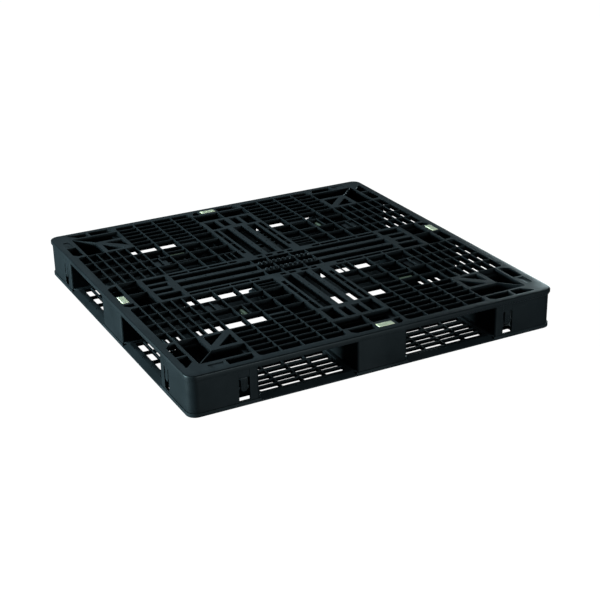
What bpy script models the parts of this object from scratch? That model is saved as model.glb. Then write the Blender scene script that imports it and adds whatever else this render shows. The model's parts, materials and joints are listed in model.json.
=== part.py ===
"""Plastic export pallet, 1100 x 1100 mm and 115 mm to its deck, open for forks on all four sides.

Rows of studs on the centre beam stand 5 mm above the deck.

The plan is drawn from one corner: s runs along an edge from its left end as seen from outside, and e runs
inwards from that edge. Everything but the centre beam repeats on the four sides by quarter turns.
"""

import math

import bmesh
import bpy
from mathutils import Matrix, Vector

# Driving dimensions, in metres.
SIDE = 1.100
HEIGHT = 0.115
CORNER_RADIUS = 0.028
GAP = 0.0003
ARC_STEPS = 3
SMALL_ARC_STEPS = 2
RIM_STEPS = 5

# Upper deck: a ribbed lattice with a lip all round.
DECK_DEPTH = 0.017
LIP_DEPTH = 0.012
LIP_OVERHANG = 0.003
LIP_RADIUS = 0.0035
RIB = 0.003
RIM_AT_FORKS = 0.0255
RIM_CELL_RADIUS = 0.010
FINE_LINES = [0.0545 + 0.0305 * step for step in range(6)]
COARSE_LINES = [0.207 + 0.06325 * step for step in range(5)]
SHORT_RIB = 0.2325
LOW_RIBS = (0.4175, 0.437)
LOW_RIB_DEPTH = 0.0035
LOW_RIB_DROP = 0.0005
WEB = 0.003
SHELF_DROP = 0.0065
WEB_LAP = 0.0015
WEB_LIFT = 0.0005

# Pockets in the wide rim over the columns, from left to right along each side, and a shallow recess.
RIM_POCKETS = (0.0195, 0.0495)
RIM_POCKET_CUT = 0.012
LEFT_POCKET = (0.122, 0.196)
MIDDLE_POCKET = (0.472, 0.544)
SMALL_POCKET = (0.608, 0.630)
RIGHT_POCKET = (0.904, 0.978)
CORNER_POCKET = (0.985, 1.046)
CORNER_POCKET_TOE = 1.018
CORNER_POCKET_STEP = 0.003
RIM_RECESS = ((0.071, 0.114), (0.023, 0.0425))
RIM_RECESS_DEPTH = 0.002

# The deep recesses and framed pockets over the columns, inside the rim.
RECESS = (0.057, 0.1125)
FRAME = (0.126, 0.196)
DIAGONAL_BAR = 0.0145
BIG_POCKET = (0.4715, 0.508)
NARROW_POCKET = (0.5185, 0.542)
NARROW_POCKET_END = 0.185

# The beams between the columns: long grooves, and rows of slots along their edges.
GROOVES = [(0.488, 0.5175), (0.534, 0.566), (0.5825, 0.612)]
BEAM_EDGE = 0.4585
BEAM_RIBS = (0.460, 0.5135)
SLOT_BAND = (0.4675, 0.480)
SLOT_ROW_END = 0.427
CROSSING_SLOTS = [(0.491, 0.509), (0.519, 0.543)]

# Round studs along the two bars of the centre beam, and the slots in the base that clear them in a stack.
STUD_RADIUS = 0.0048
STUD_SIDES = 6
STUD_HEIGHT = 0.005
STUD_PITCH = 0.0155
STUDS_PER_BAR = 11
STUD_SLOT_MARGIN = 0.003

# Columns: hollow feet that carry the deck.
WALL = 0.004
THIN_WALL = 0.0035
COLUMN_FACE = 0.0035
CORNER_COLUMN_END = 0.1925
MIDDLE_COLUMN_START = 0.4755
COLUMN_RADIUS = 0.006
PARTITION_BOTTOM = 0.055
RIM_CHANNEL_END = 0.050
RECESS_START = 0.0545
RECESS_END = 0.115
DIAGONAL_WALL = 0.0025
CORNER_FRAME_START = 0.119
MIDDLE_RECESS_END = 0.110
MIDDLE_FRAME_START = 0.114

# Lower deck: a base frame with four open windows.
BASE_DEPTH = 0.0105
BASE_INSET = 0.0015
WINDOW_START = 0.209
WINDOW_END = 0.487
WINDOW_RADIUS = 0.006
BASE_CHAMFER = 0.018
BASE_EDGE_HEIGHT = 0.003
BASE_ROWS = [(0.0345, 0.0575), (0.0625, 0.0815), (0.0865, 0.1065), (0.114, 0.136), (0.146, 0.166)]
BASE_RIB = 0.005
KERB_TOP = 0.013
KERB_WIDTH = 0.013
KERB_RADIUS = 0.032
KERB_CORNER = 0.012
FOOT_EDGE = 0.014
LATCH_FOOT_START = 0.118
LATCH_FOOT_END = 0.186
LATCH_FOOT_DEPTH = 0.046
CHAMFER_MARGIN = 0.004

# Snap latches: tongues in the corner column walls that hook under loops on the lower deck.
LATCH_FROM_CORNER = 0.152
WINDOW_WIDTH = 0.030
LATCH_WINDOW_BOTTOM = 0.014
LATCH_WINDOW_TOP = 0.0775
LATCH_PANEL_DEPTH = 0.0008
LATCH_PANEL_GAP = 0.002
TONGUE_WIDTH = 0.018
TONGUE_THICKNESS = 0.0032
TONGUE_TIP = 0.039
HINGE_HEIGHT = 0.0754
HINGE_INSET = COLUMN_FACE + WALL / 2
BARB_TOP = 0.045
BARB_REACH = 0.0055
BARB_LIP = 0.0015
LOOP_INSET = 0.0082
LOOP_THICKNESS = 0.004
LOOP_TOP = 0.051
LOOP_BAR = 0.0055
LOOP_POST = 0.0065
LOOP_CLEARANCE = 0.001

# Grip pads: soft strips in the rim, and under the deck where the forks lift.
DECK_PAD = (0.047, 0.020, 0.007)
DECK_PAD_PLACE = (0.5745, 0.032)
DECK_PAD_PROUD = 0.001
FORK_PAD = (0.020, 0.050, 0.009)
FORK_PAD_PROUD = 0.002
FORK_PAD_GROOVE = 0.004
FORK_PAD_NOTCH = 0.008

HALF = SIDE / 2
UNDERSIDE = HEIGHT - DECK_DEPTH
STUD_LINES = [(left + right) / 2 for left, right in ((GROOVES[i][1], GROOVES[i + 1][0]) for i in (0, 1))]
MIDDLE_COLUMN_END = SIDE - MIDDLE_COLUMN_START
CORNER_KERB_END = CORNER_COLUMN_END + KERB_WIDTH
MIDDLE_KERB_START = MIDDLE_COLUMN_START - KERB_WIDTH
PAD_CELL_CENTRE = (COARSE_LINES[1] + COARSE_LINES[2]) / 2
QUARTERS = {"front": 0, "right": 1, "back": 2, "left": 3}


def new_collection(name):
    collection = bpy.data.collections.new(name)
    bpy.context.scene.collection.children.link(collection)
    return collection


def plastic(name, colour, roughness):
    material = bpy.data.materials.new(name)
    material.use_nodes = True
    shader = material.node_tree.nodes["Principled BSDF"]
    shader.inputs["Base Color"].default_value = (*colour, 1)
    shader.inputs["Roughness"].default_value = roughness
    shader.inputs["Metallic"].default_value = 0
    return material


# Outlines in plan.


def rectangle(left, low, right, high):
    return [(left, low), (right, low), (right, high), (left, high)]


def rounded(points, radii, steps=ARC_STEPS):
    """The outline with an arc of the given radius at each corner, 0 for a sharp one."""
    result = []
    for index, radius in enumerate(radii):
        corner = Vector(points[index])
        if not radius:
            result.append(tuple(corner))
            continue
        back = (Vector(points[index - 1]) - corner).normalized()
        ahead = (Vector(points[(index + 1) % len(points)]) - corner).normalized()
        half_angle = back.angle(ahead) / 2
        centre = corner + (back + ahead).normalized() * radius / math.sin(half_angle)
        start = corner + back * radius / math.tan(half_angle) - centre
        end = corner + ahead * radius / math.tan(half_angle) - centre
        sweep = math.atan2(start.x * end.y - start.y * end.x, start.dot(end))
        for step in range(steps + 1):
            spoke = Matrix.Rotation(sweep * step / steps, 2) @ start
            result.append(tuple(centre + spoke))
    return result


def chamfered(points, corner, cut):
    """The outline with one corner cut off at 45 degrees."""
    here = Vector(points[corner])
    before = here + (Vector(points[corner - 1]) - here).normalized() * cut
    after = here + (Vector(points[(corner + 1) % len(points)]) - here).normalized() * cut
    return [*points[:corner], tuple(before), tuple(after), *points[corner + 1 :]]


def mirrored(points):
    """The outline reflected in the middle of its side."""
    return [(SIDE - s, e) for s, e in reversed(points)]


def swapped(points):
    """The outline reflected in the diagonal through its corner."""
    return [(e, s) for s, e in reversed(points)]


def placed(points, quarter=0):
    """From edge distances to world plan, turned by quarter turns about the centre."""
    turn = Matrix.Rotation(math.pi / 2 * quarter, 2)
    return [tuple(turn @ Vector((s - HALF, e - HALF))) for s, e in points]


def on_all_sides(outlines):
    return [placed(points, quarter) for quarter in range(4) for points in outlines]


# Solids.


def link_mesh(name, mesh, collection, material=None):
    obj = bpy.data.objects.new(name, mesh)
    collection.objects.link(obj)
    if material:
        mesh.materials.clear()
        mesh.materials.append(material)
    return obj


def extruded(name, outlines, bottom, top, collection, edge_radius=0.0):
    """Separate flat outlines, extruded upwards into one mesh of closed solids."""
    curve = bpy.data.curves.new(name, "CURVE")
    curve.dimensions = "2D"
    curve.fill_mode = "BOTH"
    curve.extrude = (top - bottom) / 2 - edge_radius
    curve.bevel_depth = edge_radius
    curve.bevel_resolution = 1
    curve.offset = -edge_radius
    for points in outlines:
        spline = curve.splines.new("POLY")
        spline.points.add(len(points) - 1)
        spline.use_cyclic_u = True
        for target, (x, y) in zip(spline.points, points):
            target.co = (x, y, 0, 1)
    guide = bpy.data.objects.new(name + "_guide", curve)
    collection.objects.link(guide)
    bpy.context.view_layer.update()
    evaluated = guide.evaluated_get(bpy.context.evaluated_depsgraph_get())
    mesh = bpy.data.meshes.new_from_object(evaluated)
    mesh.name = name
    bpy.data.objects.remove(guide)
    bpy.data.curves.remove(curve)
    mesh.transform(Matrix.Translation((0, 0, (top + bottom) / 2)))
    close(mesh)
    return link_mesh(name, mesh, collection)


def pierced(name, outlines, holes, bottom, top, collection):
    """Extruded outlines with openings cut right through them."""
    body = extruded(name, outlines, bottom, top, collection)
    tool = extruded("openings", holes, bottom - 0.002, top + 0.002, collection)
    combine(body, [tool], "DIFFERENCE")
    return body


def close(mesh):
    """Welds a curve's loose caps and points every face outwards."""
    solid = bmesh.new()
    solid.from_mesh(mesh)
    bmesh.ops.remove_doubles(solid, verts=solid.verts, dist=1e-6)
    bmesh.ops.recalc_face_normals(solid, faces=solid.faces)
    solid.to_mesh(mesh)
    solid.free()


def box(name, low, high, collection):
    solid = bmesh.new()
    size = [top - bottom for bottom, top in zip(low, high)]
    middle = [(top + bottom) / 2 for bottom, top in zip(low, high)]
    matrix = Matrix.Translation(middle) @ Matrix.Diagonal((*size, 1))
    bmesh.ops.create_cube(solid, size=1, matrix=matrix)
    mesh = bpy.data.meshes.new(name)
    solid.to_mesh(mesh)
    solid.free()
    return link_mesh(name, mesh, collection)


def combine(target, tools, operation):
    """Applies a Boolean of the target with every tool, and removes the tools."""
    for tool in tools:
        modifier = target.modifiers.new(operation.lower(), "BOOLEAN")
        modifier.operation = operation
        modifier.solver = "EXACT"
        modifier.object = tool
    bpy.context.view_layer.update()
    evaluated = target.evaluated_get(bpy.context.evaluated_depsgraph_get())
    mesh = bpy.data.meshes.new_from_object(evaluated)
    target.modifiers.clear()
    before = target.data
    target.data = mesh
    bpy.data.meshes.remove(before)
    mesh.name = target.name
    for tool in tools:
        data = tool.data
        bpy.data.objects.remove(tool)
        bpy.data.meshes.remove(data)


def merged(name, pieces, collection):
    """Several separate solids as one mesh, to be used as one Boolean tool."""
    joined = bmesh.new()
    for piece in pieces:
        joined.from_mesh(piece.data)
        data = piece.data
        bpy.data.objects.remove(piece)
        bpy.data.meshes.remove(data)
    mesh = bpy.data.meshes.new(name)
    joined.to_mesh(mesh)
    joined.free()
    return link_mesh(name, mesh, collection)


def turned(obj, quarter):
    """Turns a mesh drawn at the front side to another side, in its data."""
    obj.data.transform(Matrix.Rotation(math.pi / 2 * quarter, 4, "Z"))
    return obj


def side_box(name, s_range, e_range, z_range, quarter, collection):
    low = (s_range[0] - HALF, e_range[0] - HALF, z_range[0])
    high = (s_range[1] - HALF, e_range[1] - HALF, z_range[1])
    return turned(box(name, low, high, collection), quarter)


# Openings of the upper deck.


def cells(s_lines, e_lines, rib=RIB):
    """The openings between two families of rib lines."""
    pad = rib / 2
    return [
        rectangle(left + pad, low + pad, right - pad, high - pad)
        for left, right in zip(s_lines, s_lines[1:])
        for low, high in zip(e_lines, e_lines[1:])
    ]


def fork_strip_openings():
    """The lattice above one fork entry, with rounded corners towards the rim."""
    e_lines = [RIM_AT_FORKS - RIB / 2, *FINE_LINES]
    openings = cells(COARSE_LINES, e_lines)
    first, last = 0, len(openings) - len(FINE_LINES)
    openings[first] = rounded(openings[first], (RIM_CELL_RADIUS, 0, 0, 0), SMALL_ARC_STEPS)
    openings[last] = rounded(openings[last], (0, RIM_CELL_RADIUS, 0, 0), SMALL_ARC_STEPS)
    return openings + [mirrored(points) for points in openings]


def quadrant_openings():
    """The coarse lattice inside one corner column, with a few extra short ribs."""
    lines = COARSE_LINES
    openings = []
    for column in range(4):
        for row in range(4):
            s_lines = [lines[column], lines[column + 1]]
            e_lines = [lines[row], lines[row + 1]]
            if (column, row) == (0, 2):
                s_lines.insert(1, SHORT_RIB)
            if (column, row) == (2, 0):
                e_lines.insert(1, SHORT_RIB)
            if (column, row) == (1, 1):
                s_lines.insert(1, PAD_CELL_CENTRE)
            openings += cells(s_lines, e_lines)
    return openings


def rim_pockets():
    """The pockets in the wide rim over the columns of one side, left to right."""
    near, far = RIM_POCKETS
    left, middle, small, right = [
        rectangle(start, near, end, far)
        for start, end in (LEFT_POCKET, MIDDLE_POCKET, SMALL_POCKET, RIGHT_POCKET)
    ]
    start, end = CORNER_POCKET
    corner_pocket = [
        (start, near),
        (end, near),
        (end, near + CORNER_POCKET_STEP),
        (CORNER_POCKET_TOE, far),
        (start, far),
    ]
    return [
        chamfered(left, 1, RIM_POCKET_CUT),
        chamfered(middle, 0, RIM_POCKET_CUT),
        chamfered(small, 1, RIM_POCKET_CUT),
        chamfered(right, 0, RIM_POCKET_CUT),
        corner_pocket,
    ]


def corner_openings():
    """The deep L recess with its diagonal rib, and the framed square with its diagonal bar."""
    start, end = RECESS
    edge = COARSE_LINES[0] - RIB / 2
    lean = RIB / math.sqrt(2)
    recess = [(start + lean, start), (edge, start), (edge, end), (end + lean, end)]
    low, high = FRAME
    triangle = [(low + DIAGONAL_BAR, low), (high, low), (high, high - DIAGONAL_BAR)]
    return [recess, swapped(recess), triangle, swapped(triangle)]


def corner_webs():
    """Thin floors that close the corner openings where they reach past the column."""
    start, end = RECESS
    low, high = FRAME
    wall = CORNER_COLUMN_END - WALL / 2
    recess_end = rectangle(wall, start - WEB_LAP, COARSE_LINES[0], end + WEB_LAP)
    frame_end = rectangle(wall, low - WEB_LAP, high + WEB_LAP, high - DIAGONAL_BAR + WEB_LAP)
    return [recess_end, swapped(recess_end), frame_end, swapped(frame_end)]


def middle_openings():
    """The recess and the framed pockets over the middle column of one side."""
    low, high = FRAME
    half = [
        rectangle(COARSE_LINES[4] + RIB / 2, RECESS[0], HALF - RIB / 2, RECESS[1]),
        rectangle(BIG_POCKET[0], low, BIG_POCKET[1], high),
        rectangle(NARROW_POCKET[0], low, NARROW_POCKET[1], NARROW_POCKET_END),
    ]
    return half + [mirrored(points) for points in half]


def middle_webs():
    """Thin floors that close the middle openings where they reach past the column."""
    wall = MIDDLE_COLUMN_START + WALL / 2
    end_wall = CORNER_COLUMN_END - WALL / 2
    recess_end = rectangle(COARSE_LINES[4], RECESS[0] - WEB_LAP, wall, RECESS[1] + WEB_LAP)
    outer, low, high = BIG_POCKET[0] - WEB_LAP, FRAME[0] - WEB_LAP, FRAME[1] + WEB_LAP
    inner = BIG_POCKET[1] + WEB_LAP
    frame_end = [(outer, low), (wall, low), (wall, end_wall), (inner, end_wall), (inner, high)]
    frame_end.append((outer, high))
    half = [recess_end, frame_end]
    return half + [mirrored(points) for points in half]


def slot_row(extra):
    """One row of slots along a beam, from the first rib to where the row ends, with any extra ones."""
    ends = [*COARSE_LINES[:4], SLOT_ROW_END]
    spans = [(left + RIB / 2, right - RIB / 2) for left, right in zip(ends, ends[1:])]
    low, high = SLOT_BAND
    return [rectangle(left, low, right, high) for left, right in spans + extra]


def spoke_openings():
    """The grooves and slot rows between one middle column and the centre beam."""
    start = COARSE_LINES[0] + RIB / 2
    grooves = [rectangle(left, start, right, BEAM_EDGE) for left, right in GROOVES]
    slots = [swapped(points) for points in slot_row([])]
    return grooves + slots + [mirrored(points) for points in slots]


def beam_openings():
    """The centre beam: three long grooves, crossed by thin ribs in the middle, and two slot rows."""
    crossings = [COARSE_LINES[0], *BEAM_RIBS]
    crossings += [SIDE - place for place in reversed(crossings)]
    openings = []
    for low, high in GROOVES:
        for left, right in zip(crossings, crossings[1:]):
            openings.append(rectangle(left + RIB / 2, low, right - RIB / 2, high))
    row = slot_row(CROSSING_SLOTS)
    row += [mirrored(points) for points in row]
    far_row = [[(s, SIDE - e) for s, e in reversed(points)] for points in row]
    return openings + row + far_row


def studs(cutters):
    """The upright studs over the centre column, rooted in the beam's bars."""
    steps = [index - (STUDS_PER_BAR - 1) / 2 for index in range(STUDS_PER_BAR)]
    turns = [2 * math.pi * (side + 0.5) / STUD_SIDES for side in range(STUD_SIDES)]
    outline = [(STUD_RADIUS * math.cos(turn), STUD_RADIUS * math.sin(turn)) for turn in turns]
    outlines = []
    for line in STUD_LINES:
        for step in steps:
            centre = (HALF + STUD_PITCH * step, line)
            outlines.append(placed([(centre[0] + s, centre[1] + e) for s, e in outline]))
    return extruded("studs", outlines, HEIGHT - DECK_DEPTH / 2, HEIGHT + STUD_HEIGHT, cutters)


# Columns.


def corner_column_cells():
    start, end = COLUMN_FACE + WALL, CORNER_COLUMN_END - WALL
    inner_radius = CORNER_RADIUS - WALL
    channel = rounded(rectangle(start, start, end, RIM_CHANNEL_END), (inner_radius, 0, 0, 0))
    lean = DIAGONAL_WALL / math.sqrt(2)
    recess = [
        (RECESS_START + lean, RECESS_START),
        (end, RECESS_START),
        (end, RECESS_END),
        (RECESS_END + lean, RECESS_END),
    ]
    return [
        channel,
        rectangle(start, RECESS_START, RIM_CHANNEL_END, end),
        recess,
        swapped(recess),
        rectangle(CORNER_FRAME_START, CORNER_FRAME_START, end, end),
    ]


def middle_column_cells():
    left, right = MIDDLE_COLUMN_START + WALL, HALF - WALL / 2
    rows = [
        (COLUMN_FACE + WALL, RIM_CHANNEL_END),
        (RECESS_START, MIDDLE_RECESS_END),
        (MIDDLE_FRAME_START, CORNER_COLUMN_END - WALL),
    ]
    half = [rectangle(left, low, right, high) for low, high in rows]
    return half + [mirrored(points) for points in half]


def corner_column_outline():
    low, high = COLUMN_FACE, CORNER_COLUMN_END
    radii = (CORNER_RADIUS, COLUMN_RADIUS, COLUMN_RADIUS, COLUMN_RADIUS)
    return rounded(rectangle(low, low, high, high), radii)


def middle_column_outline():
    corners = rectangle(MIDDLE_COLUMN_START, COLUMN_FACE, MIDDLE_COLUMN_END, CORNER_COLUMN_END)
    return rounded(corners, (COLUMN_RADIUS,) * 4, SMALL_ARC_STEPS)


def centre_column_outline():
    low, high = MIDDLE_COLUMN_START, MIDDLE_COLUMN_END
    return rounded(rectangle(low, low, high, high), (COLUMN_RADIUS,) * 4, SMALL_ARC_STEPS)


def build_columns(cutters):
    """All nine hollow columns, with the latch windows in the corner ones."""
    middle = MIDDLE_COLUMN_START + WALL, HALF - WALL / 2, HALF + WALL / 2, MIDDLE_COLUMN_END - WALL
    centre_cells = [
        rectangle(middle[i], middle[j], middle[i + 1], middle[j + 1]) for i in (0, 2) for j in (0, 2)
    ]
    outlines = on_all_sides([corner_column_outline(), middle_column_outline()])
    outlines.append(placed(centre_column_outline()))
    holes = on_all_sides(corner_column_cells() + middle_column_cells())
    holes += [placed(points) for points in centre_cells]
    foot = BASE_DEPTH + GAP
    columns = pierced("columns", outlines, holes, foot, UNDERSIDE + 0.001, cutters)

    # Below the partitions each column is one open chamber with slightly thinner walls.
    low, high = COLUMN_FACE + THIN_WALL, CORNER_COLUMN_END - THIN_WALL
    corner_radii = (CORNER_RADIUS - THIN_WALL, 0, 0, 0)
    left, right = MIDDLE_COLUMN_START + THIN_WALL, MIDDLE_COLUMN_END - THIN_WALL
    chambers = on_all_sides(
        [
            rounded(rectangle(low, low, high, high), corner_radii),
            rectangle(left, low, right, high),
        ]
    )
    chambers.append(placed(rectangle(left, left, right, right)))
    tools = [extruded("chambers", chambers, 0, PARTITION_BOTTOM, cutters)]
    openings = []
    panels = []
    for quarter in range(4):
        for place in (LATCH_FROM_CORNER, SIDE - LATCH_FROM_CORNER):
            s_range = (place - WINDOW_WIDTH / 2, place + WINDOW_WIDTH / 2)
            depth = COLUMN_FACE + WALL + 0.002
            z_range = (LATCH_WINDOW_BOTTOM, LATCH_WINDOW_TOP)
            openings.append(side_box("window", s_range, (-0.001, depth), z_range, quarter, cutters))
            depth = COLUMN_FACE + LATCH_PANEL_DEPTH
            z_range = (LATCH_WINDOW_TOP + LATCH_PANEL_GAP, HEIGHT)
            panels.append(side_box("panel", s_range, (-0.001, depth), z_range, quarter, cutters))
    tools.append(merged("latch_windows", openings, cutters))
    tools.append(merged("latch_panels", panels, cutters))
    combine(columns, tools, "DIFFERENCE")
    return columns


def build_upper_deck(parts, cutters, material):
    """The load deck, its lip and its columns, in one moulding."""
    rim = rounded(rectangle(0, 0, SIDE, SIDE), (CORNER_RADIUS,) * 4, RIM_STEPS)
    openings = on_all_sides(
        fork_strip_openings()
        + quadrant_openings()
        + rim_pockets()
        + corner_openings()
        + middle_openings()
    )
    for quarter in (0, 2):
        openings += [placed(points, quarter) for points in spoke_openings()]
    openings += [placed(points) for points in beam_openings()]
    deck = pierced("upper_deck", [placed(rim)], openings, UNDERSIDE, HEIGHT, parts)

    # Thin webs that close some openings, and low ribs across one cell in each quadrant.
    floors = on_all_sides(corner_webs() + middle_webs())
    web_bottom = UNDERSIDE + WEB_LIFT
    first, second, third, fourth = COARSE_LINES[0], COARSE_LINES[2], COARSE_LINES[3], COARSE_LINES[4]
    shelf = rectangle(second, first, third, SHORT_RIB)
    shelf_top = HEIGHT - SHELF_DROP
    ribs = [rectangle(third, low - RIB / 2, fourth, low + RIB / 2) for low in LOW_RIBS]
    rib_top = HEIGHT - LOW_RIB_DROP
    tools = [
        extruded("floors", floors, web_bottom, web_bottom + WEB, cutters),
        extruded("shelves", on_all_sides([shelf, swapped(shelf)]), shelf_top - WEB, shelf_top, cutters),
        extruded("low_ribs", on_all_sides(ribs), rib_top - LOW_RIB_DEPTH, rib_top, cutters),
    ]
    combine(deck, tools, "UNION")

    # The lip's rounded top edge, and the step under it.
    envelope = extruded("envelope", [placed(rim)], 0.05, HEIGHT, cutters, LIP_RADIUS)
    combine(deck, [envelope], "INTERSECT")
    inner = rounded(
        rectangle(LIP_OVERHANG, LIP_OVERHANG, SIDE - LIP_OVERHANG, SIDE - LIP_OVERHANG),
        (CORNER_RADIUS - LIP_OVERHANG,) * 4,
        RIM_STEPS,
    )
    outer = rectangle(-0.05, -0.05, SIDE + 0.05, SIDE + 0.05)
    lip_top = HEIGHT - LIP_DEPTH
    step = pierced("step", [placed(outer)], [placed(inner)], UNDERSIDE - 0.01, lip_top, cutters)

    # Seats for the deck pads, and notches in the ribs that carry the fork pads.
    seats = []
    notches = []
    for quarter in range(4):
        z_range = (HEIGHT - RIM_RECESS_DEPTH, HEIGHT + 0.01)
        seats.append(side_box("rim_recess", *RIM_RECESS, z_range, quarter, cutters))
        seats.append(
            side_box(
                "seat",
                around(DECK_PAD_PLACE[0], DECK_PAD[0] + 2 * GAP),
                around(DECK_PAD_PLACE[1], DECK_PAD[1] + 2 * GAP),
                (HEIGHT + DECK_PAD_PROUD - DECK_PAD[2] - GAP, HEIGHT + 0.01),
                quarter,
                cutters,
            )
        )
        seat_ceiling = UNDERSIDE - FORK_PAD_PROUD + FORK_PAD[2] - FORK_PAD_GROOVE + GAP
        notches.append(
            side_box(
                "notch",
                around(PAD_CELL_CENTRE, FORK_PAD_NOTCH),
                around(PAD_CELL_CENTRE, FORK_PAD[1] + 2 * GAP),
                (UNDERSIDE - 0.01, seat_ceiling),
                quarter,
                cutters,
            )
        )
    tools = [step, merged("pad_seats", seats, cutters), merged("pad_notches", notches, cutters)]
    combine(deck, tools, "DIFFERENCE")
    combine(deck, [build_columns(cutters), studs(cutters)], "UNION")
    deck.data.materials.append(material)
    return deck


def around(middle, width):
    return middle - width / 2, middle + width / 2


# Lower deck.


def base_lattice():
    """The rows of open cells under the two fork entries of one side."""
    half = [
        rectangle(left + BASE_RIB / 2, low, right - BASE_RIB / 2, high)
        for left, right in zip(COARSE_LINES, COARSE_LINES[1:])
        for low, high in BASE_ROWS
    ]
    return half + [mirrored(points) for points in half]


def base_window():
    """One open window, notched where the centre foot stands."""
    start, end, foot = WINDOW_START, WINDOW_END, MIDDLE_KERB_START
    points = [(start, start), (end, start), (end, foot), (foot, foot), (foot, end), (start, end)]
    return rounded(points, (WINDOW_RADIUS,) * len(points), SMALL_ARC_STEPS)


def base_foot_openings():
    """One opening behind each latch, and slots over a lower pallet's studs."""
    behind = rectangle(LATCH_FOOT_START, FOOT_EDGE, LATCH_FOOT_END, LATCH_FOOT_DEPTH)
    reach = STUD_PITCH * (STUDS_PER_BAR - 1) / 2 + STUD_RADIUS + STUD_SLOT_MARGIN
    width = STUD_RADIUS + STUD_SLOT_MARGIN
    slots = [rectangle(HALF - reach, e - width, HALF + reach, e + width) for e in STUD_LINES]
    return on_all_sides([behind, swapped(behind)]) + [placed(points) for points in slots]


def kerbs(cutters):
    """Low kerbs beside the feet, which hold the columns in place. They end at the pallet's outer faces."""
    edge = BASE_INSET + GAP
    left, right = MIDDLE_KERB_START, SIDE - MIDDLE_KERB_START
    small = KERB_CORNER
    corner = rectangle(edge, edge, CORNER_KERB_END, CORNER_KERB_END)
    side = rectangle(left, edge, right, CORNER_KERB_END)
    centre = rectangle(left, left, right, right)
    outlines = on_all_sides(
        [
            rounded(corner, (CORNER_RADIUS, KERB_RADIUS, small, KERB_RADIUS)),
            rounded(side, (KERB_RADIUS, KERB_RADIUS, small, small)),
        ]
    )
    outlines.append(placed(rounded(centre, (small,) * 4)))
    outside = -0.01
    near, far = MIDDLE_COLUMN_START - 2 * GAP, MIDDLE_COLUMN_END + 2 * GAP
    end = CORNER_COLUMN_END + 2 * GAP
    feet = on_all_sides([rectangle(outside, outside, end, end), rectangle(near, outside, far, end)])
    feet.append(placed(rectangle(near, near, far, far)))
    return pierced("kerbs", outlines, feet, BASE_DEPTH - 0.001, KERB_TOP, cutters)


def latch_loop(place, quarter, cutters):
    """The arch behind one latch window, standing on the base: two posts and the bar that the barb holds."""
    half = WINDOW_WIDTH / 2 + LOOP_CLEARANCE
    post = half + LOOP_POST
    foot = BASE_DEPTH - 0.001
    bar = LOOP_TOP - LOOP_BAR
    outline = [(-post, foot), (-half, foot), (-half, bar), (half, bar), (half, foot), (post, foot)]
    outline += [(post, LOOP_TOP), (-post, LOOP_TOP)]
    loop = extruded("loop", [outline], 0, LOOP_THICKNESS, cutters)
    stand = Matrix.Rotation(math.pi / 2, 4, "X")
    shift = Matrix.Translation((place - HALF, LOOP_INSET + LOOP_THICKNESS - HALF, 0))
    loop.data.transform(shift @ stand)
    return turned(loop, quarter)


def edge_chamfers(cutters):
    """Wedges that slope the base's outer edge down inside each fork entry."""
    slope = (BASE_DEPTH - BASE_EDGE_HEIGHT) / BASE_CHAMFER
    out = 0.02
    rise = 0.01
    top_e = BASE_INSET + BASE_CHAMFER + rise / slope
    profile = [(-out, BASE_EDGE_HEIGHT - (out + BASE_INSET) * slope), (top_e, BASE_DEPTH + rise)]
    profile.append((-out, BASE_DEPTH + rise))
    upright = Matrix.Rotation(math.pi / 2, 4, "Z") @ Matrix.Rotation(math.pi / 2, 4, "X")
    wedges = []
    start, end = CORNER_COLUMN_END + CHAMFER_MARGIN, MIDDLE_COLUMN_START - CHAMFER_MARGIN
    for quarter in range(4):
        for left in (start, SIDE - end):
            wedge = extruded("wedge", [profile], 0, end - start, cutters)
            wedge.data.transform(Matrix.Translation((left - HALF, -HALF, 0)) @ upright)
            wedges.append(turned(wedge, quarter))
    return merged("edge_chamfers", wedges, cutters)


def build_lower_deck(parts, cutters, material):
    """The base frame, its slots and windows, the kerbs round the feet and the latch loops."""
    edge = rectangle(BASE_INSET, BASE_INSET, SIDE - BASE_INSET, SIDE - BASE_INSET)
    rim = placed(rounded(edge, (CORNER_RADIUS - BASE_INSET,) * 4, RIM_STEPS))
    holes = [*on_all_sides([base_window(), *base_lattice()]), *base_foot_openings()]
    base = pierced("lower_deck", [rim], holes, 0, BASE_DEPTH, parts)
    combine(base, [edge_chamfers(cutters)], "DIFFERENCE")
    loops = [
        latch_loop(place, quarter, cutters)
        for quarter in range(4)
        for place in (LATCH_FROM_CORNER, SIDE - LATCH_FROM_CORNER)
    ]
    combine(base, [kerbs(cutters), merged("loops", loops, cutters)], "UNION")
    base.data.materials.append(material)
    return base


# Moving and soft pieces.


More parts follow.
